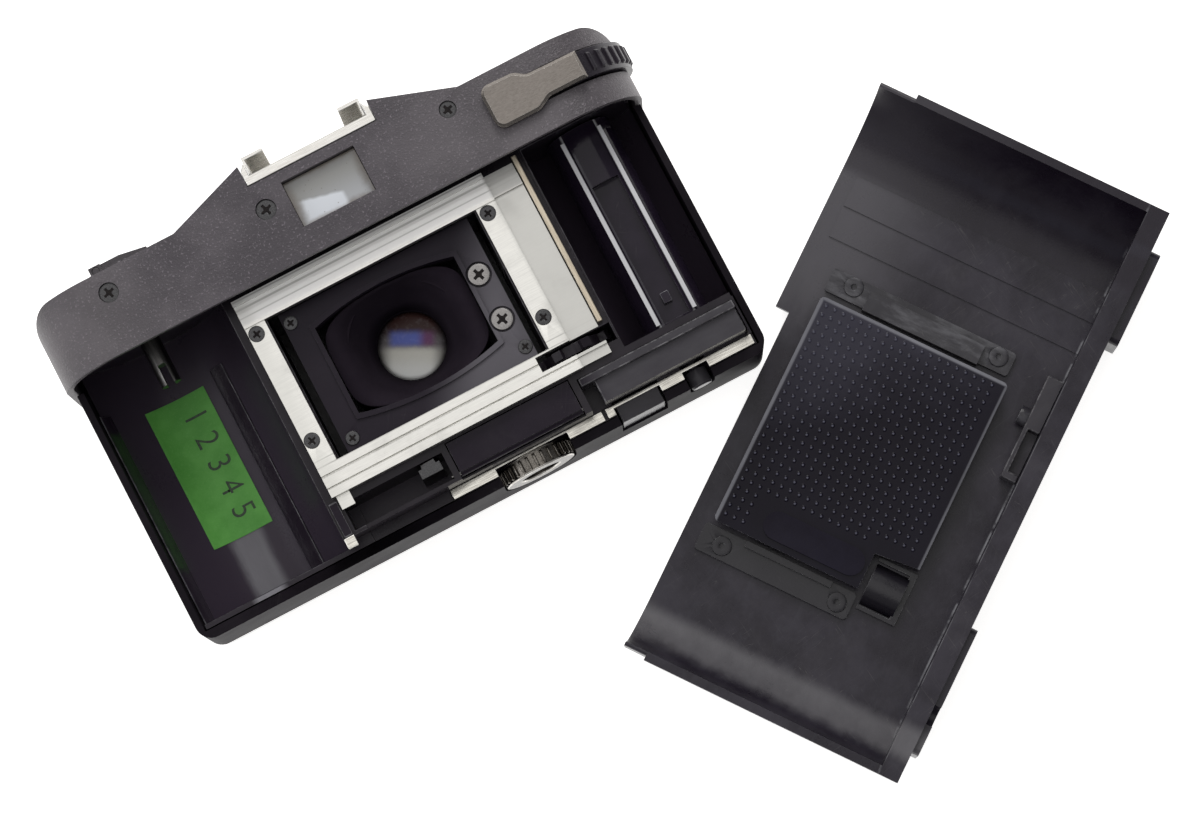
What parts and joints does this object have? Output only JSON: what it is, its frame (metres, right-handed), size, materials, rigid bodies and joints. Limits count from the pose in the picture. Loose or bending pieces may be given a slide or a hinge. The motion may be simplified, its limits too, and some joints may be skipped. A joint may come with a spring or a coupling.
{
  "type": "compact film camera",
  "caption": "Compact 35 mm film camera lying on its front, opened to show film gate and chambers, with its removable back lying beside it, inner face up.",
  "frame": {"origin": "on the table that the camera's front lies on, under the middle of the film gate", "axes": "+X along the camera's width towards the wind lever end, +Y towards the camera's top, +Z rearwards, up from the table"},
  "size_m": [0.1619, 0.1281, 0.0319],
  "materials": {
    "cover_paint": "fine speckled charcoal crackle paint",
    "shell_plastic": "black moulded plastic",
    "chassis_plastic": "black moulded plastic",
    "gate_aluminium": "die cast, machined rails",
    "dark_screw": "blackened steel screws",
    "bright_screw": "nickel plated screws",
    "mask_paint": "matt dark grey",
    "optic_glass": "coated lens glass",
    "finder_glass": "milky finder window",
    "shoe_steel": "bright folded sheet",
    "contact_metal": "contact",
    "lever_metal": "gunmetal plated lever",
    "ring_plastic": "knurled black ring",
    "button_metal": "release button",
    "knob_metal": "black knob",
    "shaft_steel": "plain steel",
    "spool_plastic": "black spool",
    "label_paper": "green paper label",
    "rib_plastic": "chamber ribs",
    "barrel_paint": "black lens barrel",
    "door_plastic": "front door",
    "cell_steel": "button cell cans",
    "bush_steel": "knurled tripod bush",
    "strap_steel": "bright sheet",
    "back_plastic": "satin charcoal",
    "bracket_steel": "dark sprung sheet",
    "plate_paint": "glossy dark dimpled plate",
    "lid_plastic": "black lid",
    "strip_metal": "dull guide strip"
  },
  "bodies": {
    "camera_body": {"front_cover": "shell_plastic", "cartridge_chamber": "chassis_plastic", "lens_bay": "chassis_plastic", "takeup_chamber": "chassis_plastic", "lower_shelf": "chassis_plastic", "cartridge_ribs": "rib_plastic", "serial_label": "label_paper", "film_gate_frame": "gate_aluminium", "gate_screws": "dark_screw", "guide_strip": "strip_metal", "top_cover": "cover_paint", "cover_screws": "dark_screw", "finder_tunnel": "chassis_plastic", "eyepiece_glass": "finder_glass", "finder_front_glass": "finder_glass", "shoe_plate": "shoe_steel", "shoe_rails": "shoe_steel", "shoe_contact": "contact_metal", "lever_pivot": "shaft_steel", "door_pin": "shaft_steel", "battery_lid_pin": "shaft_steel", "button_cells": "cell_steel", "lid_latch": "shaft_steel", "tripod_bush": "bush_steel", "tripod_strap": "strap_steel", "drive_strap": "strap_steel", "drive_cover": "lid_plastic", "lock_block": "lid_plastic", "lock_arm": "lid_plastic", "lock_tab": "strap_steel"},
    "back_cover": {"back_shell": "back_plastic", "left_bracket": "bracket_steel", "right_bracket": "bracket_steel", "bracket_rivets": "bracket_steel", "plate_spring": "bracket_steel", "film_clip": "bracket_steel", "back_catch": "lid_plastic", "catch_spring": "bracket_steel"},
    "pressure_plate": {"pressure_plate": "plate_paint"},
    "lens_carriage": {"light_mask": "mask_paint", "mask_screws": "dark_screw", "shutter_screws": "bright_screw", "lens_barrel": "barrel_paint", "rear_lens": "optic_glass", "front_lens": "optic_glass"},
    "focus_ring": {"focus_ring": "barrel_paint"},
    "aperture_ring": {"aperture_ring": "barrel_paint"},
    "front_door": {"front_door": "door_plastic"},
    "wind_lever": {"wind_lever": "lever_metal", "lever_ring": "ring_plastic"},
    "shutter_button": {"shutter_button": "button_metal"},
    "rewind_knob": {"rewind_knob": "knob_metal", "rewind_fork": "shaft_steel"},
    "rewind_crank": {"rewind_crank": "knob_metal", "crank_handle": "knob_metal"},
    "take_up_spool": {"take_up_spool": "spool_plastic", "spool_hook": "spool_plastic"},
    "sprocket": {"sprocket": "chassis_plastic"},
    "battery_lid": {"battery_lid": "lid_plastic"},
    "rewind_button": {"rewind_button": "lid_plastic"}
  },
  "joints": [
    {"name": "back_lift", "type": "slide", "parent": "camera_body", "child": "back_cover", "axis": [0, 0, 1], "range_m": [0, 0.06]},
    {"name": "plate_press", "type": "slide", "parent": "back_cover", "child": "pressure_plate", "axis": [0, 0, -1], "range_m": [0, 0.0012], "stiffness_N_per_m": 400, "springref_m": -0.001},
    {"name": "door_hinge", "type": "hinge", "parent": "camera_body", "child": "front_door", "pos_m": [0, -0.021, 0.0014], "axis": [-1, 0, 0], "range_deg": [0, 88]},
    {"name": "lens_slide", "type": "slide", "parent": "camera_body", "child": "lens_carriage", "axis": [0, 0, -1], "range_m": [0, 0.012]},
    {"name": "focus_turn", "type": "hinge", "parent": "lens_carriage", "child": "focus_ring", "pos_m": [0, 0, 0.0076], "axis": [0, 0, 1], "range_deg": [0, 120]},
    {"name": "aperture_turn", "type": "hinge", "parent": "lens_carriage", "child": "aperture_ring", "pos_m": [0, 0, 0.0045], "axis": [0, 0, 1], "range_deg": [0, 150]},
    {"name": "wind", "type": "hinge", "parent": "camera_body", "child": "wind_lever", "pos_m": [0.0366, 0.023, 0.0183], "axis": [0, 1, 0], "range_deg": [0, 88], "stiffness_Nm_per_rad": 0.01, "springref_deg": -22.92},
    {"name": "release_press", "type": "slide", "parent": "camera_body", "child": "shutter_button", "axis": [0, -1, 0], "range_m": [0, 0.0009], "stiffness_N_per_m": 400, "springref_m": -0.0005},
    {"name": "rewind_turn", "type": "hinge", "parent": "camera_body", "child": "rewind_knob", "pos_m": [-0.0352, 0.025, 0.0152], "axis": [0, 1, 0], "continuous": true},
    {"name": "crank_fold", "type": "hinge", "parent": "rewind_knob", "child": "rewind_crank", "pos_m": [-0.0375, 0.0317, 0.0152], "axis": [0, 0, 1], "range_deg": [0, 170]},
    {"name": "spool_turn", "type": "hinge", "parent": "camera_body", "child": "take_up_spool", "pos_m": [0.0376, 0, 0.0144], "axis": [0, 1, 0], "continuous": true},
    {"name": "sprocket_turn", "type": "hinge", "parent": "camera_body", "child": "sprocket", "pos_m": [0.021, -0.0136, 0.0176], "axis": [0, 1, 0], "continuous": true},
    {"name": "lid_hinge", "type": "hinge", "parent": "camera_body", "child": "battery_lid", "pos_m": [0.0079, -0.0222, 0.0214], "axis": [1, 0, 0], "range_deg": [0, 95]},
    {"name": "rewind_release_press", "type": "slide", "parent": "camera_body", "child": "rewind_button", "axis": [0, 1, 0], "range_m": [0, 0.0009], "stiffness_N_per_m": 300, "springref_m": -0.0005}
  ],
  "couplings": [
    {"joint": "door_hinge", "follows": "lens_slide", "rad_per_m": 127},
    {"joint": "sprocket_turn", "follows": "spool_turn", "ratio": 0.92}
  ]
}
